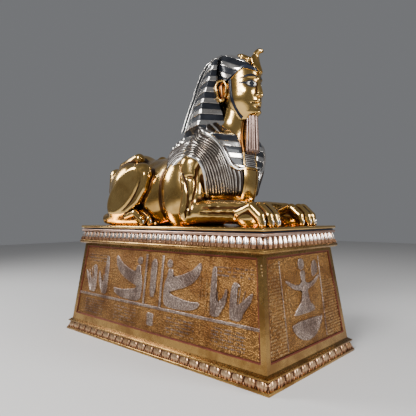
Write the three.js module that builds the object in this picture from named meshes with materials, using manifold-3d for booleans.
// A gilded sphinx lying on its own thin slab, which rests on a battered plinth with leaf mouldings and carved panels.
// Millimetres, +Z up. The origin is the centre of the plinth's underside, and the sphinx looks along -Y.
import * as THREE from 'three';
import { mergeVertices } from 'three/addons/utils/BufferGeometryUtils.js';
import Module from 'manifold-3d';

const wasm = await Module();
wasm.setup();

// Driving dimensions of the figure and its slab
const FIGURE_HEIGHT = 840; // slab to the crown of the headcloth
const SLAB_MARGIN_FRONT = 39; // slab beyond the toes
const SLAB_MARGIN_SIDE = 36; // slab beyond the haunches
const SLAB_EDGE_HEIGHT = 14; // the rounded gilt edge
const SLAB_NECK_HEIGHT = 7; // the dark recess under it
const SLAB_NECK_DEPTH = 10;
const SLAB_EDGE_ROUND = 3;
const SEAT_GAP = 0.3; // clearance between the slab and the plinth that it rests on

// Driving dimensions of the plinth, from the top down
const CORNICE_SETBACK = 3; // top fillet behind the slab
const CORNICE_TOP_FILLET = 13;
const CORNICE_LEAF_HEIGHT = 45;
const CORNICE_ROLL = 21;
const CORNICE_COVE = 5;
const CORNICE_SWELL = 9; // roll beyond the top fillet
const CORNICE_OVERHANG = 25; // roll beyond the top of the die
const DIE_HEIGHT = 432;
const DIE_BATTER = 54; // how far each side of the die leans in
const BASE_SLOPE = 9;
const BASE_SLOPE_SETBACK = 18; // die behind the base's top fillet
const BASE_TOP_FILLET = 9;
const BASE_LEAF_HEIGHT = 33;
const BASE_FLOOR_FILLET = 12;
const BASE_SPREAD = 7; // floor fillet beyond the top fillet
const CORNICE_LEAF_PITCH = 35.5;
const BASE_LEAF_PITCH = 60;
const LEAF_RELIEF = 6;
const LEAF_ROOT = 3; // leaf tips behind the fillets on either side of them
const FRAME_SIDE = 30;
const FRAME_TOP = 15;
const FRAME_BOTTOM = 35;
const PANEL_DEPTH = 5; // panel ground below the frame
const RELIEF_HEIGHT = 4; // carved figures above the panel ground

// The figure is carved on a grid of 840 units to its height. Its forms below are in units.
const UNITS_HIGH = 840;
const UNIT = FIGURE_HEIGHT / UNITS_HIGH;
const TOES_AT = 612; // units in front of the origin
const HAUNCH_HALF_WIDTH = 264; // units
const SLAB_HALF_LENGTH = TOES_AT * UNIT + SLAB_MARGIN_FRONT;
const SLAB_HALF_WIDTH = HAUNCH_HALF_WIDTH * UNIT + SLAB_MARGIN_SIDE;
const CORNICE_HEIGHT = CORNICE_TOP_FILLET + CORNICE_LEAF_HEIGHT + CORNICE_ROLL + CORNICE_COVE;
const BASE_HEIGHT = BASE_FLOOR_FILLET + BASE_LEAF_HEIGHT + BASE_TOP_FILLET;
const DIE_FOOT = BASE_HEIGHT + BASE_SLOPE;
const DIE_TOP = DIE_FOOT + DIE_HEIGHT;
const PLINTH_HEIGHT = DIE_TOP + CORNICE_HEIGHT;
const SLAB_BOTTOM = PLINTH_HEIGHT + SEAT_GAP;
const SLAB_TOP = SLAB_BOTTOM + SLAB_NECK_HEIGHT + SLAB_EDGE_HEIGHT;
const ROOT_DEPTH = 6; // units that the figure's forms reach into the slab

// Materials

const finish = (name, color, roughness, metalness) =>
  Object.assign(new THREE.MeshStandardMaterial({ color, roughness, metalness }), { name });
const gold = finish('gilding', 0xc9a24a, 0.3, 1);
const agedGold = finish('aged_gilding', 0xa9783a, 0.45, 1);

// Solids

function solidOf(geometry) {
  const bare = geometry.clone();
  bare.deleteAttribute('normal');
  bare.deleteAttribute('uv');
  const merged = mergeVertices(bare, 1e-3);
  return new wasm.Manifold(new wasm.Mesh({
    numProp: 3,
    vertProperties: new Float32Array(merged.attributes.position.array),
    triVerts: new Uint32Array(merged.index.array),
  }));
}

function geometryOf(solid) {
  const { vertProperties, triVerts, numProp } = solid.getMesh();
  const count = vertProperties.length / numProp;
  const places = new Float32Array(count * 3);
  for (let i = 0; i < count; i++) places.set(vertProperties.subarray(i * numProp, i * numProp + 3), i * 3);
  const geometry = new THREE.BufferGeometry();
  geometry.setAttribute('position', new THREE.BufferAttribute(places, 3));
  geometry.setIndex(new THREE.BufferAttribute(triVerts, 1));
  return geometry;
}

const joined = (solids) => solids.reduce((whole, piece) => whole.add(piece));

function indexed(points, triangles) {
  const geometry = new THREE.BufferGeometry();
  geometry.setAttribute('position', new THREE.Float32BufferAttribute(points.flat(), 3));
  geometry.setIndex(triangles);
  return geometry;
}

// A closed body through rings of equal count, with a fan at each end. Rings run anticlockwise seen from the last one.
function loft(rings) {
  const count = rings[0].length;
  const points = rings.flat();
  const triangles = [];
  for (let r = 0; r + 1 < rings.length; r++) {
    for (let i = 0; i < count; i++) {
      const a = r * count + i;
      const b = r * count + (i + 1) % count;
      triangles.push(a, b, b + count, a, b + count, a + count);
    }
  }
  const middle = (ring) => [0, 1, 2].map((k) => ring.reduce((sum, p) => sum + p[k], 0) / count);
  const first = points.push(middle(rings[0])) - 1;
  const last = points.push(middle(rings.at(-1))) - 1;
  const top = (rings.length - 1) * count;
  for (let i = 0; i < count; i++) {
    const next = (i + 1) % count;
    triangles.push(first, next, i, last, top + i, top + next);
  }
  return indexed(points, triangles);
}

// A closed sheet between an outer and an inner skin, each a list of rows of points
function sheet(outer, inner) {
  const [high, wide] = [outer.length, outer[0].length];
  const points = [...outer.flat(), ...inner.flat()];
  const under = high * wide;
  const at = (r, c) => r * wide + c;
  const triangles = [];
  const quad = (a, b, c, d) => triangles.push(a, b, c, a, c, d);
  for (let r = 0; r + 1 < high; r++) {
    for (let c = 0; c + 1 < wide; c++) {
      quad(at(r, c), at(r, c + 1), at(r + 1, c + 1), at(r + 1, c));
      quad(under + at(r, c), under + at(r + 1, c), under + at(r + 1, c + 1), under + at(r, c + 1));
    }
    quad(at(r + 1, 0), under + at(r + 1, 0), under + at(r, 0), at(r, 0));
    quad(at(r, wide - 1), under + at(r, wide - 1), under + at(r + 1, wide - 1), at(r + 1, wide - 1));
  }
  for (let c = 0; c + 1 < wide; c++) {
    quad(at(0, c), under + at(0, c), under + at(0, c + 1), at(0, c + 1));
    quad(at(high - 1, c + 1), under + at(high - 1, c + 1), under + at(high - 1, c), at(high - 1, c));
  }
  return rightWayOut(indexed(points, triangles));
}

function rightWayOut(geometry) {
  const solid = solidOf(geometry);
  return solid.volume() > 0 ? solid : solidOf(flipped(geometry));
}

function flipped(geometry) {
  const turned = geometry.clone();
  const index = turned.index.array;
  for (let i = 0; i < index.length; i += 3) [index[i], index[i + 1]] = [index[i + 1], index[i]];
  return turned;
}

const mirrored = (solid) => rightWayOut(geometryOf(solid).scale(-1, 1, 1));

// A round limb through nodes [x, y, z, radius], closed by a blunt point at each end.
function limb(nodes, sides) {
  const centres = nodes.map(([x, y, z]) => new THREE.Vector3(x, y, z));
  const rings = centres.map((centre, i) => {
    const along = centres[Math.min(i + 1, nodes.length - 1)].clone().sub(centres[Math.max(i - 1, 0)]).normalize();
    const across = new THREE.Vector3(1, 0, 0).addScaledVector(along, -along.x).normalize();
    const over = along.clone().cross(across);
    return Array.from({ length: sides }, (_, s) => {
      const angle = (s + 0.5) * 2 * Math.PI / sides;
      return centre.clone()
        .addScaledVector(across, nodes[i][3] * Math.cos(angle))
        .addScaledVector(over, nodes[i][3] * Math.sin(angle)).toArray();
    });
  });
  return rightWayOut(loft(rings));
}

// The lion's body as one smooth field: negative inside, in units, the same on both sides of the middle

const smooth = (a, b, reach) => {
  const h = Math.max(reach - Math.abs(a - b), 0) / reach;
  return Math.min(a, b) - h * h * reach / 4;
};

// An ellipsoid, leaning back by an angle about the X axis
function mass(p, [cx, cy, cz], [rx, ry, rz], lean = 0) {
  const [c, s] = [Math.cos(lean), Math.sin(lean)];
  const [x, dy, dz] = [p[0] - cx, p[1] - cy, p[2] - cz];
  const [y, z] = [c * dy + s * dz, c * dz - s * dy];
  const near = Math.hypot(x / rx, y / ry, z / rz);
  const steep = Math.hypot(x / rx ** 2, y / ry ** 2, z / rz ** 2);
  return steep ? near * (near - 1) / steep : -Math.min(rx, ry, rz);
}

// A chain of round cones through nodes [x, y, z, radius]
function muscle(p, nodes) {
  let nearest = Infinity;
  for (let i = 0; i + 1 < nodes.length; i++) {
    const [a, b] = [nodes[i], nodes[i + 1]];
    const span = [b[0] - a[0], b[1] - a[1], b[2] - a[2]];
    const from = [p[0] - a[0], p[1] - a[1], p[2] - a[2]];
    const dot = from[0] * span[0] + from[1] * span[1] + from[2] * span[2];
    const t = Math.min(1, Math.max(0, dot / (span[0] ** 2 + span[1] ** 2 + span[2] ** 2)));
    const gap = Math.hypot(from[0] - t * span[0], from[1] - t * span[1], from[2] - t * span[2]);
    nearest = Math.min(nearest, gap - (a[3] + t * (b[3] - a[3])));
  }
  return nearest;
}

const HIP_LEAN = -0.35;
const THIGH_LEAN = -0.657;
const THIGH_FACET = 250; // from the middle to the flat outer side of the thigh
const SHANK_FACET = 243;
const SHANK = [[208, 168, 262, 40], [220, 178, 200, 40], [220, 226, 146, 38], [216, 318, 92, 36], [206, 430, 58, 32],
  [188, 540, 38, 32]];
const HIND_FOOT = [[186, 500, 36, 36], [180, 240, 40, 42]];
const HIP_CREST = [[90, 372, 384, 32], [116, 470, 338, 36]];
const HIP_POINT = [[118, 548, 294, 44], [138, 540, 200, 38]];
const UPPER_ARM = [[182, -160, 288, 64], [198, -178, 150, 54], [200, -160, 62, 56]];
const FOREARM = [[198, -175, 64, 58], [178, -330, 68, 55], [158, -455, 60, 51]];
const NECK = [[0, -240, 380, 96], [0, -286, 560, 70]];

function torsoField(p) {
  let f = mass(p, [0, -190, 240], [172, 176, 225]);
  f = smooth(f, mass(p, [0, 10, 190], [186, 240, 215]), 60);
  f = smooth(f, mass(p, [0, -80, 330], [165, 220, 215]), 60);
  f = smooth(f, mass(p, [110, -190, 330], [116, 150, 160]), 50);
  f = smooth(f, mass(p, [0, 240, 205], [148, 230, 190]), 60);
  f = smooth(f, mass(p, [0, 450, 200], [150, 170, 222]), 50);
  return smooth(f, muscle(p, NECK), 60);
}

// A form with its outer side planed off flat at a distance from the middle
const cutFlat = (f, x, facet, reach) => -smooth(-f, facet - x, reach);

function bodyField(x, y, z) {
  const p = [Math.abs(x), y, z];
  let f = torsoField(p);
  f = smooth(f, mass(p, [128, 388, 200], [100, 166, 160], HIP_LEAN), 16);
  f = smooth(f, muscle(p, HIP_CREST), 22);
  f = smooth(f, muscle(p, HIP_POINT), 22);
  f = smooth(f, mass(p, [142, -26, 165], [78, 116, 176]), 12);
  f = smooth(f, cutFlat(mass(p, [200, 322, 186], [80, 212, 98], THIGH_LEAN), p[0], THIGH_FACET, 5), 10);
  f = smooth(f, cutFlat(muscle(p, SHANK), p[0], SHANK_FACET, 5), 8);
  f = smooth(f, muscle(p, HIND_FOOT), 12);
  f = smooth(f, muscle(p, UPPER_ARM), 16);
  f = smooth(f, muscle(p, FOREARM), 18);
  f = smooth(f, mass(p, [155, -505, 40], [72, 92, 58]), 14);
  return Math.max(f, -(z + ROOT_DEPTH));
}

// A closed mesh round the field, by surface nets: in each cell that the surface crosses, one corner for each sheet of
// it, and one face for each crossed edge. Each corner is then moved onto the surface along the field's slope.
const CELL_CORNERS = [0, 1, 2, 3, 4, 5, 6, 7].map((n) => [n & 1, (n >> 1) & 1, n >> 2]);
const CELL_EDGES = [0, 1, 2].flatMap((axis) =>
  [0, 1, 2, 3, 4, 5, 6, 7].filter((n) => !(n & (1 << axis))).map((n) => [n, n | (1 << axis)]));
const CELL_FACES = [0, 1, 2].flatMap((axis) => [0, 1].map((side) =>
  [0, 1, 2, 3, 4, 5, 6, 7].filter((n) => ((n >> axis) & 1) === side)));

// The crossed edges of a cell in groups, one group for each sheet of the surface
function sheetsOf(inside) {
  const group = CELL_EDGES.map(([m, n], e) => (inside[m] !== inside[n] ? e : -1));
  const join = (e, f) => {
    const [keep, lose] = [group[e], group[f]];
    group.forEach((g, i) => { if (g === lose) group[i] = keep; });
  };
  for (const face of CELL_FACES) {
    const crossed = CELL_EDGES.map((edge, e) => e)
      .filter((e) => group[e] >= 0 && CELL_EDGES[e].every((n) => face.includes(n)));
    if (crossed.length === 2) join(crossed[0], crossed[1]);
    if (crossed.length === 4) {
      for (const corner of face.filter((n) => inside[n])) {
        const meet = crossed.filter((e) => CELL_EDGES[e].includes(corner));
        join(meet[0], meet[1]);
      }
    }
  }
  return group;
}

function fieldSurface(field, low, high, step) {
  const size = low.map((l, k) => Math.ceil((high[k] - l) / step[k]) + 1);
  const id = (i, j, k) => (k * size[1] + j) * size[0] + i;
  const value = new Float32Array(size[0] * size[1] * size[2]);
  const every = (from, visit) => {
    for (let k = from; k + 1 < size[2]; k++) {
      for (let j = from; j + 1 < size[1]; j++) {
        for (let i = from; i + 1 < size[0]; i++) visit(i, j, k);
      }
    }
  };
  value.forEach((_, n) => {
    const cell = [n % size[0], Math.floor(n / size[0]) % size[1], Math.floor(n / size[0] / size[1])];
    value[n] = field(...cell.map((c, k) => low[k] + c * step[k]));
  });
  const points = [];
  const cellPoint = new Map();
  every(0, (i, j, k) => {
    const v = CELL_CORNERS.map(([a, b, c]) => value[id(i + a, j + b, k + c)]);
    const group = sheetsOf(v.map((f) => f < 0));
    for (const g of new Set(group.filter((e) => e >= 0))) {
      const crossed = CELL_EDGES.filter((_, e) => group[e] === g);
      const p = [i, j, k].map((base, axis) => low[axis] + step[axis] * crossed.reduce((sum, [m, n]) => {
        const [a, b] = [CELL_CORNERS[m][axis], CELL_CORNERS[n][axis]];
        return sum + (base + a + (b - a) * v[m] / (v[m] - v[n])) / crossed.length;
      }, 0));
      const corner = points.push(ontoSurface(field, p, step)) - 1;
      CELL_EDGES.forEach((_, e) => { if (group[e] === g) cellPoint.set(id(i, j, k) * 12 + e, corner); });
    }
  });
  const triangles = [];
  every(1, (i, j, k) => [0, 1, 2].forEach((axis) => {
    const [u, w] = [(axis + 1) % 3, (axis + 2) % 3];
    const along = [i, j, k].map((c, n) => c + (n === axis));
    const here = value[id(i, j, k)] < 0;
    if (here === value[id(...along)] < 0) return;
    const q = [[0, 0], [1, 0], [1, 1], [0, 1]].map(([a, b]) => {
      const cell = [i, j, k].map((c, n) => c - (n === u ? a : 0) - (n === w ? b : 0));
      const start = (a << u) | (b << w);
      const edge = CELL_EDGES.findIndex(([m, n]) => m === start && n === (start | (1 << axis)));
      return cellPoint.get(id(...cell) * 12 + edge);
    });
    if (!here) q.reverse();
    triangles.push(q[0], q[1], q[2], q[0], q[2], q[3]);
  }));
  return indexed(points, triangles);
}

function ontoSurface(field, start, step) {
  const p = [...start];
  const tiny = 0.5;
  for (let turn = 0; turn < 3; turn++) {
    const f = field(...p);
    const slope = [0, 1, 2].map((k) => {
      const q = [...p];
      q[k] += tiny;
      return (field(...q) - f) / tiny;
    });
    const steep = slope.reduce((sum, s) => sum + s * s, 0) || 1;
    const move = slope.map((s) => Math.max(-step[0] / 3, Math.min(step[0] / 3, -f * s / steep)));
    p.forEach((_, k) => { p[k] += move[k]; });
  }
  return p;
}

const BODY_STEP = [38, 42, 34]; // units

function body() {
  return rightWayOut(fieldSurface(bodyField, [-342, -684, -40], [342, 690, 690], BODY_STEP));
}

// The tail comes down the rump and lies round the left haunch
const TAIL = [[6, 520, 232, 24], [10, 572, 160, 24], [40, 592, 74, 22], [110, 594, 24, 20], [196, 566, 18, 19],
  [250, 480, 18, 19], [266, 370, 18, 20], [262, 286, 20, 24], [256, 250, 20, 12]];

// Paws: four toes each, arched over the knuckle
const TOE_SPACING = 37;
const FORE_TOES = { x: 154, back: -470, knuckle: -545, front: -592, top: 84, radius: 22 };
const HIND_TOES = { x: 176, back: 290, knuckle: 208, front: 158, top: 68, radius: 19.5 };

function toes({ x, back, knuckle, front, top, radius }) {
  return [-1.5, -0.5, 0.5, 1.5].map((place) => {
    const across = x + place * TOE_SPACING;
    const shorter = Math.abs(place) > 1 ? 16 : 0; // the outer toes end behind the middle ones
    return limb([
      [across, back + shorter, top * 0.7, radius * 0.8],
      [across, knuckle + shorter, top, radius],
      [across, front + shorter, top * 0.55, radius],
      [across, front + shorter - radius * 0.6, radius * 0.3, radius * 0.62],
    ], 6);
  });
}

// The head: a ring of radii at each height, with the face's features added to the front
const HEAD_AT = [0, -315];
const CHIN = 525;
const HAIRLINE = 776;
const THIRD = (HAIRLINE - CHIN) / 3; // chin to nose, nose to brow and brow to hairline
const EYE_WIDTH = 34; // the face is five eyes wide
const MOUTH_AT = CHIN + THIRD * 0.64;
const NOSE_AT = CHIN + THIRD;
const EYE_AT = CHIN + THIRD * 1.7;
const BROW_AT = CHIN + THIRD * 2.05;

const bump = (u, v, atU, atV, wide, high) => Math.exp(-(((u - atU) / wide) ** 2 + ((v - atV) / high) ** 2));
const blend = (low, high, t) => {
  const s = Math.min(1, Math.max(0, (t - low) / (high - low)));
  return s * s * (3 - 2 * s);
};

function faceRelief(u, v) {
  const a = Math.abs(u);
  const down = blend(BROW_AT + 4, NOSE_AT + 6, v); // 0 at the bridge, 1 at the tip of the nose
  const nose = blend(NOSE_AT - 8, NOSE_AT + 3, v) * blend(BROW_AT + 16, BROW_AT - 14, v);
  let relief = (4 + 19 * down) * nose * Math.exp(-((u / (7 + 5 * down)) ** 2));
  relief += 8 * bump(a, v, EYE_WIDTH * 0.38, NOSE_AT + 5, 6, 6);
  relief += 5 * bump(a, v, 32, BROW_AT + 3, 26, 6);
  relief -= 9 * bump(a, v, EYE_WIDTH, EYE_AT, 17, 11);
  relief += 8 * bump(a, v, EYE_WIDTH, EYE_AT, 12, 7);
  relief += 5 * bump(a, v, 50, NOSE_AT + 20, 20, 20);
  relief += 6 * bump(a, v, 7, MOUTH_AT + 5, 15, 5) + 7 * bump(a, v, 0, MOUTH_AT - 6, 18, 6);
  relief -= 4 * bump(a, v, 0, MOUTH_AT, 24, 2) + 3 * bump(a, v, 0, MOUTH_AT - 17, 20, 5);
  return relief + 9 * bump(a, v, 0, CHIN + 10, 18, 11);
}

function head() {
  const heights = [-18, -2, 10, 26, 38, 47, 53, 60, 72, 82, 90, 106, 124, 134, 143, 152, 164, 182, 225];
  const turns = [-2.5, -1.6, -1.2, -0.85, -0.62, -0.45, -0.32, -0.2, -0.1];
  const angles = [...turns, 0, ...turns.map((t) => -t).reverse()];
  const rings = heights.map((rise) => {
    const v = CHIN + rise;
    const jaw = blend(CHIN - 30, CHIN + 90, v);
    const side = 48 + 37 * jaw;
    const front = 66 + 38 * blend(CHIN - 26, CHIN + 14, v);
    return angles.map((angle) => {
      const reach = 1 / Math.hypot(Math.sin(angle) / side, Math.cos(angle) / front);
      const out = reach + faceRelief(angle * side, v) * Math.max(0, Math.cos(angle));
      return [HEAD_AT[0] + out * Math.sin(angle), HEAD_AT[1] - out * Math.cos(angle), v];
    });
  });
  return rightWayOut(loft(rings));
}

const EAR = [[84, -280, 602, 9], [92, -272, 622, 15], [93, -266, 650, 18], [93, -266, 676, 17], [88, -270, 696, 9]];

// The headcloth: bands of two heights, alternately raised and sunk
const BAND_PITCH = 55;
const BAND_STEP = 4;
const BAND_FOOT = 425; // foot of one of the raised bands
const BAND_EDGE = 0.5; // height of the step between two bands

function banded(low, high, outline) {
  const rings = [];
  const half = BAND_PITCH / 2;
  for (let b = Math.floor((low - BAND_FOOT) / half); BAND_FOOT + b * half < high; b++) {
    const foot = BAND_FOOT + b * half;
    const swell = b % 2 ? 0 : BAND_STEP;
    rings.push(outline(Math.max(foot, low), swell), outline(Math.min(foot + half - BAND_EDGE, high), swell));
  }
  return rightWayOut(loft(rings));
}

function along(stations, v) {
  const next = Math.max(1, stations.findIndex((station) => station[0] >= v));
  const [a, b] = [stations[next - 1], stations[next]];
  const t = (v - a[0]) / (b[0] - a[0]);
  return a.map((value, k) => value + t * (b[k] - value));
}

// Height, then the front edge, the wing's edge, the flank and the back, each as x, y
const WING_STATIONS = [
  [392, 60, -318, 118, -290, 96, -48, 34, 74],
  [480, 72, -280, 184, -200, 108, -36, 32, 54],
  [580, 88, -250, 164, -202, 88, -60, 30, 4],
  [650, 99, -236, 145, -206, 76, -84, 28, -44],
  [730, 97, -238, 122, -216, 70, -116, 26, -96],
  [790, 92, -240, 106, -226, 62, -150, 22, -138],
  [816, 84, -240, 94, -234, 52, -172, 18, -158],
  [842, 50, -240, 56, -236, 34, -190, 12, -182],
];
// Height, then the half-width, the front and the back
const DOME_STATIONS = [
  [690, 93, -418, -200],
  [742, 93, -412, -192],
  [775, 88, -384, -186],
  [800, 78, -352, -183],
  [820, 64, -322, -182],
  [838, 46, -290, -184],
  [850, 28, -256, -190],
  [856, 10, -230, -205],
];
// The headband's line round the head: the angle from the face's middle, and the height
const HEADBAND = [[0, 733], [0.35, 738], [0.8, 746], [1.15, 729], [1.5, 706], [1.8, 695]];
const DOME_BANDS = 5;
const DOME_SIDES = 16;

function wings() {
  return banded(WING_STATIONS[0][0], WING_STATIONS.at(-1)[0], (v, swell) => {
    const [, xf, yf, xw, yw, xs, ys, xb, yb] = along(WING_STATIONS, v);
    const half = [[xf, yf], [xw + swell, yw], [xs + swell, ys], [xb, yb + swell]];
    const points = [...half, ...half.map(([x, y]) => [-x, y]).reverse()];
    return points.map(([x, y]) => [x, y, v]);
  });
}

// A ring of the dome at a share of the way from the headband to the crown
function domeRing(share, swell) {
  const onRing = (v, angle, out) => {
    const [, wide, front, back] = along(DOME_STATIONS, v);
    return [(wide + out) * Math.cos(angle), (front + back) / 2 + ((back - front) / 2 + out) * Math.sin(angle), v];
  };
  const crown = DOME_STATIONS.at(-1)[0];
  return Array.from({ length: DOME_SIDES }, (_, i) => {
    const angle = (i + 0.5) * 2 * Math.PI / DOME_SIDES;
    const [x, y] = onRing(HEADBAND[0][1], angle, 0);
    const turn = Math.atan2(Math.abs(x), HEAD_AT[1] - y);
    const rim = along(HEADBAND, Math.min(turn, HEADBAND.at(-1)[0]))[1];
    return onRing(rim + (crown - rim) * share, angle, swell);
  });
}

function dome() {
  const rings = [];
  for (let b = 0; b < DOME_BANDS; b++) {
    const swell = b % 2 ? 0 : BAND_STEP;
    rings.push(domeRing(b / DOME_BANDS, swell), domeRing((b + 0.98) / DOME_BANDS, swell));
  }
  return rightWayOut(loft(rings));
}

// The torso's surface in front of a point of the XZ plane, stood off by a height
function chestAt(x, z, off) {
  let [out, within] = [-460, -150];
  for (let turn = 0; turn < 16; turn++) {
    const y = (out + within) / 2;
    if (torsoField([Math.abs(x), y, z]) > off) out = y;
    else within = y;
  }
  return (out + within) / 2;
}

// Height, then the inner and outer edge of the cloth's front fall
const LAPPET_STATIONS = [[276, 42, 84], [296, 43, 122], [316, 45, 146], [350, 48, 152], [400, 56, 160],
  [450, 66, 174], [486, 74, 186]];
const LAPPET_THICKNESS = 15;
const CLOTH_BENDS_AT = 430; // above this height the cloth hangs straight
const CLOTH_FRONT = -200; // the cloth is never farther back
const CLOTH_ROOT = 34; // how deep the cloth reaches into the chest

function lappet() {
  return banded(LAPPET_STATIONS[0][0], LAPPET_STATIONS.at(-1)[0], (v, swell) => {
    const [, inner, outer] = along(LAPPET_STATIONS, v);
    const face = [inner, (inner + outer) / 2, outer];
    const off = LAPPET_THICKNESS + swell;
    const front = face.map((x) => [x, Math.min(chestAt(x, Math.min(v, CLOTH_BENDS_AT), off), CLOTH_FRONT), v]);
    const back = face.map((x, i) => [x, front[i][1] + CLOTH_ROOT, v]).reverse();
    return [...front, ...back];
  });
}

// The cape: ribs in rings about each shoulder, from the arch over the arm to the breast and the spine
const RIB_CENTRE = [235, -118, 215];
const RIB_FLATNESS = 0.95;
const REAR_STRETCH = 0.75; // the rings are longer behind the centre
const RIB_FALL = 110; // below the centre the rings go straight down, by this much for each radian
const RIB_TURN = Math.PI + 0.9;
const RIB_LOOKS = 360; // places tried along each ring for the cape's ends
const ARCH = 114;
const RIB_PITCH = 10.2;
const RIB_DEPTH = 4;
const BREAST_RIBS = 14;
const BACK_RINGS = 4;
const BACK_PITCH = 26;
const CAPE_THICKNESS = 8;
const CAPE_SPOKES = 12;
const BREAST_EDGE = 50; // half-width of the plate between the capes
const HEM_FOOT = 132;
const REAR_FOOT = 168;

function capePoint(ring, turn, off) {
  const [cx, cy, cz] = RIB_CENTRE;
  const over = Math.min(turn, Math.PI);
  const behind = Math.cos(over) > 0 ? REAR_STRETCH : 1;
  const at = (x) => {
    const r = Math.sqrt(Math.max(0, ring ** 2 - (x - cx) ** 2));
    const fall = (turn - over) * RIB_FALL;
    return [x, cy + r * Math.cos(over) / behind, cz + r * Math.sin(over) / RIB_FLATNESS - fall];
  };
  let [out, within] = [cx, Math.max(cx - ring, 0)];
  const depth = (x) => torsoField(at(x)) - off;
  if (depth(within) > 0 || depth(out) < 0) return null;
  for (let i = 0; i < 18; i++) {
    const x = (out + within) / 2;
    if (depth(x) > 0) out = x;
    else within = x;
  }
  return at((out + within) / 2);
}

// The cape ends on a slope over the ribs behind, under the headcloth's wing in front, and at the plate
function onCape(point) {
  if (!point) return false;
  const [x, y, z] = point;
  if (y > RIB_CENTRE[1] && z < 245 + 0.857 * (y - 5)) return false;
  if (y < -205 && z > 485 + 1.267 * (y + 205)) return false;
  if (y < RIB_CENTRE[1]) return z > HEM_FOOT && (x > BREAST_EDGE || y > -200);
  return z > REAR_FOOT;
}

function sunk(point, depth) {
  const slope = [0, 1, 2].map((k) => {
    const q = [...point];
    q[k] += 1;
    return torsoField(q) - torsoField(point);
  });
  const steep = Math.hypot(...slope);
  return point.map((value, k) => value - depth * slope[k] / steep);
}

function capeRow(ring, height) {
  const turns = Array.from({ length: RIB_LOOKS + 1 }, (_, i) => i * RIB_TURN / RIB_LOOKS);
  const worn = turns.filter((turn) => onCape(capePoint(ring, turn, CAPE_THICKNESS)));
  const spokes = Array.from({ length: CAPE_SPOKES }, (_, i) =>
    worn[Math.round(i * (worn.length - 1) / (CAPE_SPOKES - 1))]);
  const outer = spokes.map((turn) => capePoint(ring, turn, height) ?? capePoint(ring, turn, CAPE_THICKNESS));
  return { outer, inner: outer.map((point) => sunk(point, height + CAPE_THICKNESS)) };
}

function cape() {
  const rings = [[ARCH, CAPE_THICKNESS + 2]];
  for (let i = 0; i < BREAST_RIBS; i++) {
    const foot = ARCH + i * RIB_PITCH;
    rings.push([foot + RIB_PITCH * 0.5, CAPE_THICKNESS + RIB_DEPTH], [foot + RIB_PITCH, CAPE_THICKNESS]);
  }
  for (let i = 1; i <= BACK_RINGS; i++) {
    const foot = ARCH + BREAST_RIBS * RIB_PITCH + (i - 1) * BACK_PITCH;
    rings.push([foot + BACK_PITCH * 0.5, CAPE_THICKNESS + RIB_DEPTH], [foot + BACK_PITCH, CAPE_THICKNESS]);
  }
  const rows = rings.map(([ring, height]) => capeRow(ring, height));
  return sheet(rows.map((row) => row.outer), rows.map((row) => row.inner));
}

// The thick band along the cape's front edge: each node's distance from the middle, and its height
const CAPE_BORDER = [[190, 482], [178, 450], [164, 395], [157, 330], [138, 298], [92, 270], [58, 264]];
const BORDER_RADIUS = 9;
const BORDER_OFF = 15;

function capeBorder() {
  return limb(CAPE_BORDER.map(([x, z]) =>
    [x, Math.min(chestAt(x, Math.min(z, CLOTH_BENDS_AT), BORDER_OFF), CLOTH_FRONT), z, BORDER_RADIUS]), 6);
}

// The plate down the breast, between the capes
const PLATE_FOOT = 126;
const PLATE_TOP = 350;

function breastPlate() {
  const rows = [0, 0.04, 0.06, 0.5, 0.94, 0.96, 1].map((t, i, all) => {
    const v = PLATE_FOOT + t * (PLATE_TOP - PLATE_FOOT);
    const off = i < 2 || i > all.length - 3 ? 14 : 10;
    return [-54, -46, -42, 0, 42, 46, 54].map((x) => [x, chestAt(x, v, Math.abs(x) > 43 ? 14 : off), v]);
  });
  return sheet(rows, rows.map((row) => row.map(([x, y, v]) => [x, y + 30, v])));
}

// The false beard, fluted
const BEARD = { y: -378, foot: 340, top: 540, half: 36, deep: 31, flutes: 8, flute: 4 };

function beard() {
  const { y, foot, top, half, deep, flutes, flute } = BEARD;
  const ring = (v, size) => Array.from({ length: flutes * 2 }, (_, i) => {
    const angle = i * Math.PI / flutes;
    const cut = size - (i % 2 ? flute / half : 0);
    return [half * cut * Math.cos(angle), y + deep * cut * Math.sin(angle), v];
  });
  return rightWayOut(loft([ring(foot, 0.8), ring(foot + 12, 1.08), ring(top - 60, 0.92), ring(top, 0.86)]));
}

// The cobra over the brow, and its coil on the crown
const COBRA_NECK = [[0, -430, 718, 9], [0, -422, 738, 13], [0, -408, 772, 15], [0, -403, 802, 14], [0, -410, 820, 14],
  [0, -428, 825, 12], [0, -444, 819, 6]];
const COBRA_COIL = [[0, -404, 770, 13], [14, -390, 785, 13], [-14, -372, 797, 13], [13, -350, 811, 13],
  [-9, -326, 825, 11], [0, -298, 838, 7]];
// Height, half-width and place of the hood
const COBRA_HOOD = [[722, 11, -432], [738, 18, -426], [762, 31, -415], [788, 34, -408], [806, 25, -406], [818, 11, -410]];
const HOOD_HALF_THICKNESS = 9;

function cobra() {
  const hood = rightWayOut(loft(COBRA_HOOD.map(([v, half, y]) => [[-half, y + 4, v], [0, y - HOOD_HALF_THICKNESS, v],
    [half, y + 4, v], [0, y + HOOD_HALF_THICKNESS, v]])));
  return joined([limb(COBRA_NECK, 8), hood, limb(COBRA_COIL, 6)]);
}

// The gathered end of the headcloth on the spine
const QUEUE_FROM = [10, 538]; // y and z
const QUEUE_TO = [175, 438];
const QUEUE_RADII = [24, 28]; // in the grooves and on the wraps
const QUEUE_WRAPS = 9;

function queue() {
  const nodes = Array.from({ length: QUEUE_WRAPS * 2 + 1 }, (_, i) => {
    const t = i / (QUEUE_WRAPS * 2);
    const [y, z] = QUEUE_FROM.map((from, k) => from + t * (QUEUE_TO[k] - from));
    return [0, y, z, QUEUE_RADII[i % 2]];
  });
  return limb(nodes, 8);
}

// The slab, as rectangles from its foot up

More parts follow.
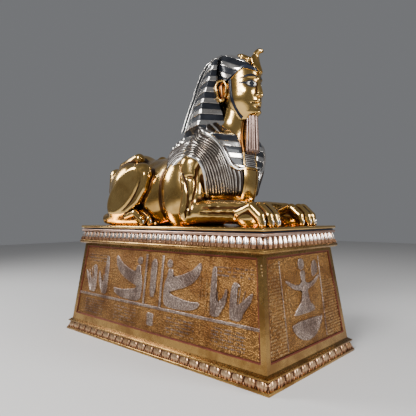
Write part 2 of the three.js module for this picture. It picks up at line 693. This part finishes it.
const rectangle = (x, y, z) => [[-x, -y, z], [x, -y, z], [x, y, z], [-x, y, z]];
const stacked = (steps) => rightWayOut(loft(steps.map(([x, y, z]) => rectangle(x, y, z))));

function slab() {
  const at = (inset, z) => [SLAB_HALF_WIDTH - inset, SLAB_HALF_LENGTH - inset, z];
  const edge = SLAB_BOTTOM + SLAB_NECK_HEIGHT;
  return stacked([
    at(SLAB_NECK_DEPTH, SLAB_BOTTOM), at(SLAB_NECK_DEPTH, edge), at(SLAB_EDGE_ROUND, edge),
    at(0, edge + SLAB_EDGE_ROUND), at(0, SLAB_TOP - SLAB_EDGE_ROUND), at(SLAB_EDGE_ROUND, SLAB_TOP),
  ]);
}

// The figure

function figure() {
  const paired = [...toes(FORE_TOES), ...toes(HIND_TOES), limb(EAR, 8), lappet(), capeBorder(), cape()];
  const single = [body(), limb(TAIL, 8), head(), wings(), dome(), breastPlate(), beard(), cobra(), queue()];
  const whole = joined([...single, ...paired, ...paired.map(mirrored)]);
  const placed = solidOf(geometryOf(whole).scale(UNIT, UNIT, UNIT).translate(0, 0, SLAB_TOP));
  return placed.add(slab());
}

// The plinth: half-sizes of its outline at each level, worked out from the slab down

const inset = (depth) => [SLAB_HALF_WIDTH - depth, SLAB_HALF_LENGTH - depth];
const CORNICE_TOP = inset(CORNICE_SETBACK);
const CORNICE_WIDE = inset(CORNICE_SETBACK - CORNICE_SWELL);
const DIE_TOP_HALF = inset(CORNICE_SETBACK - CORNICE_SWELL + CORNICE_OVERHANG);
const DIE_FOOT_HALF = DIE_TOP_HALF.map((half) => half + DIE_BATTER);
const BASE_TOP_HALF = DIE_FOOT_HALF.map((half) => half + BASE_SLOPE_SETBACK);
const FLOOR_HALF = BASE_TOP_HALF.map((half) => half + BASE_SPREAD);

const ROLL_ROUND = 5.5; // the cornice roll's softened edges
const LEAF_BITE = 1; // the leaves reach into the fillets above and below them
// Rows of a leaf, as the share of its height, then how far its crest and the line between two leaves are set back
const CORNICE_LEAF_ROWS = [[0, 0.6, 0.9], [0.5, 0, 0.9], [1, 0.2, 0.5]];
const BASE_LEAF_ROWS = [[0, 0.6, 0.9], [0.5, 0, 0.9], [1, 0.3, 0.6]];

// A band of pointed leaves round the outline: a crest on each leaf and a sunk line between two
function leafBand(foot, height, footHalf, topHalf, pitch, rows) {
  const rings = rows.map(([share, crest, valley]) => {
    const z = foot + share * height;
    const half = footHalf.map((f, k) => f + share * (topHalf[k] - f));
    const corners = rectangle(half[0], half[1], z);
    return corners.flatMap((corner, side) => {
      const across = side % 2 ? 0 : 1; // the axis that the side faces along
      const leaves = Math.round(2 * footHalf[1 - across] / pitch);
      const next = corners[(side + 1) % 4];
      return Array.from({ length: leaves * 2 }, (_, i) => {
        const t = i / (leaves * 2);
        const point = [0, 1, 2].map((k) => corner[k] + t * (next[k] - corner[k]));
        const depth = (i % 2 ? valley : crest) * LEAF_RELIEF;
        point[across] -= Math.sign(point[across]) * depth;
        if (i === 0) point[1 - across] -= Math.sign(point[1 - across]) * depth;
        return point;
      });
    });
  });
  return rightWayOut(loft(rings));
}

// A point of one face of the die: along, up the slope, and out from it
function facePlane(side) {
  const angle = (side - 1) * Math.PI / 2;
  const out = new THREE.Vector3(Math.cos(angle), Math.sin(angle), 0);
  const right = new THREE.Vector3(0, 0, 1).cross(out);
  const half = DIE_FOOT_HALF[side % 2 ? 0 : 1];
  const rise = new THREE.Vector3(0, 0, DIE_HEIGHT).addScaledVector(out, -DIE_BATTER).normalize();
  const facing = right.clone().cross(rise);
  return new THREE.Matrix4().makeBasis(right, rise, facing).setPosition(out.clone().multiplyScalar(half).setZ(DIE_FOOT));
}

const SLOPE_LENGTH = Math.hypot(DIE_HEIGHT, DIE_BATTER);
const halfAlong = (side) => DIE_FOOT_HALF[side % 2 ? 1 : 0];

function onFace(side, outline, low, high) {
  const shape = new THREE.Shape(outline.map(([s, t]) => new THREE.Vector2(s, t)));
  const geometry = new THREE.ExtrudeGeometry(shape, { depth: high - low, bevelEnabled: false, curveSegments: 6 });
  return rightWayOut(geometry.translate(0, 0, low).applyMatrix4(facePlane(side)));
}

function panelSink(side) {
  const half = (t) => halfAlong(side) - DIE_BATTER * t / SLOPE_LENGTH - FRAME_SIDE;
  const [low, high] = [FRAME_BOTTOM, SLOPE_LENGTH - FRAME_TOP];
  return onFace(side, [[-half(low), low], [half(low), low], [half(high), high], [-half(high), high]],
    -PANEL_DEPTH, PANEL_DEPTH * 3);
}

// Carved figures of the long sides, for one half of a side: thousandths of its half-length, thousandths of its height
const disc = (s, t, r, high) => Array.from({ length: 10 }, (_, i) => {
  const angle = i * Math.PI / 5;
  return [s + r * Math.cos(angle), t + high * Math.sin(angle)];
});
const bar = (s0, s1, t0, t1) => [[s0, t0], [s1, t0], [s1, t1], [s0, t1]];
const LONG_CARVING = [
  disc(162, 843, 29, 45),
  [[128, 384], [290, 380], [392, 398], [452, 436], [468, 497], [380, 484], [290, 498], [205, 520], [178, 545],
    [215, 566], [320, 612], [395, 672], [444, 752], [462, 850], [445, 893], [385, 803], [290, 742], [206, 708],
    [202, 745], [192, 792], [150, 790], [146, 720], [126, 650], [116, 540]],
  bar(78, 98, 370, 925),
  [[548, 388], [546, 830], [570, 868], [592, 850], [600, 510], [655, 590], [662, 660], [680, 665], [682, 570],
    [668, 500], [640, 440], [622, 388]],
  [[706, 388], [704, 600], [716, 720], [745, 742], [780, 705], [758, 690], [760, 520], [790, 560], [868, 668],
    [872, 640], [856, 560], [810, 470], [795, 388]],
  bar(600, 860, 800, 835),
  bar(185, 430, 215, 240),
  bar(185, 430, 150, 175),
  bar(590, 860, 240, 265),
  bar(590, 860, 175, 200),
];
const LONG_MIDDLE = [
  bar(-940, 940, 338, 368),
  [[-38, 150], [38, 150], [30, 210], [40, 290], [-40, 290], [-30, 210]],
  [[-30, 460], [30, 460], [34, 820], [16, 880], [-16, 880], [-34, 820]],
];
// Carved figures of the short sides, on the same measures of their own
const SHORT_CARVING = [
  disc(-15, 870, 76, 58),
  [[-400, 335], [-330, 235], [-200, 160], [-20, 130], [170, 160], [300, 235], [400, 335]],
  [[-290, 390], [200, 390], [220, 430], [120, 480], [72, 520], [74, 612], [260, 640], [420, 720], [400, 745],
    [250, 690], [110, 672], [35, 700], [60, 750], [50, 810], [-50, 810], [-60, 750], [-35, 700], [-110, 672],
    [-250, 690], [-400, 745], [-420, 720], [-260, 640], [-60, 612], [-60, 540], [-130, 500], [-280, 430]],
  [[224, 712], [388, 756], [400, 850], [335, 905], [252, 862]],
  bar(-520, -508, 110, 930),
  bar(440, 452, 110, 930),
];

function carving(side) {
  const scale = [halfAlong(side) / 1000, SLOPE_LENGTH / 1000];
  const outlines = side % 2
    ? [...LONG_CARVING, ...LONG_CARVING.map((line) => line.map(([s, t]) => [-s, t])), ...LONG_MIDDLE]
    : SHORT_CARVING;
  return outlines.map((line) =>
    onFace(side, line.map(([s, t]) => [s * scale[0], t * scale[1]]), -PANEL_DEPTH * 2, RELIEF_HEIGHT - PANEL_DEPTH));
}

function plinth() {
  const core = LEAF_RELIEF * 2;
  const leafTop = PLINTH_HEIGHT - CORNICE_TOP_FILLET;
  const leafFoot = leafTop - CORNICE_LEAF_HEIGHT;
  const rollFoot = leafFoot - CORNICE_ROLL;
  const less = (half, depth) => half.map((h) => h - depth);
  const block = stacked([
    [...FLOOR_HALF, 0], [...FLOOR_HALF, BASE_FLOOR_FILLET],
    [...less(FLOOR_HALF, core), BASE_FLOOR_FILLET], [...less(BASE_TOP_HALF, core), BASE_FLOOR_FILLET + BASE_LEAF_HEIGHT],
    [...BASE_TOP_HALF, BASE_FLOOR_FILLET + BASE_LEAF_HEIGHT], [...BASE_TOP_HALF, BASE_HEIGHT],
    [...DIE_FOOT_HALF, DIE_FOOT], [...DIE_TOP_HALF, DIE_TOP],
    [...less(CORNICE_WIDE, ROLL_ROUND), rollFoot], [...CORNICE_WIDE, rollFoot + ROLL_ROUND],
    [...CORNICE_WIDE, leafFoot - ROLL_ROUND], [...less(CORNICE_WIDE, ROLL_ROUND), leafFoot],
    [...less(CORNICE_WIDE, core), leafFoot], [...less(CORNICE_TOP, core), leafTop],
    [...CORNICE_TOP, leafTop], [...CORNICE_TOP, PLINTH_HEIGHT],
  ]);
  const cornice = leafBand(leafFoot - LEAF_BITE, CORNICE_LEAF_HEIGHT + 2 * LEAF_BITE, less(CORNICE_WIDE, ROLL_ROUND),
    less(CORNICE_TOP, LEAF_ROOT), CORNICE_LEAF_PITCH, CORNICE_LEAF_ROWS);
  const base = leafBand(BASE_FLOOR_FILLET - LEAF_BITE, BASE_LEAF_HEIGHT + 2 * LEAF_BITE, less(FLOOR_HALF, LEAF_ROOT),
    less(BASE_TOP_HALF, LEAF_ROOT), BASE_LEAF_PITCH, BASE_LEAF_ROWS);
  const sides = [0, 1, 2, 3];
  const sunk = block.add(cornice).add(base).subtract(joined(sides.map(panelSink)));
  return joined([sunk, ...sides.flatMap(carving)]);
}

const group = new THREE.Group();
for (const [name, solid, material] of [['sphinx', figure(), gold], ['plinth', plinth(), agedGold]]) {
  const mesh = new THREE.Mesh(geometryOf(solid), material);
  mesh.name = name;
  group.add(mesh);
}

export default group;
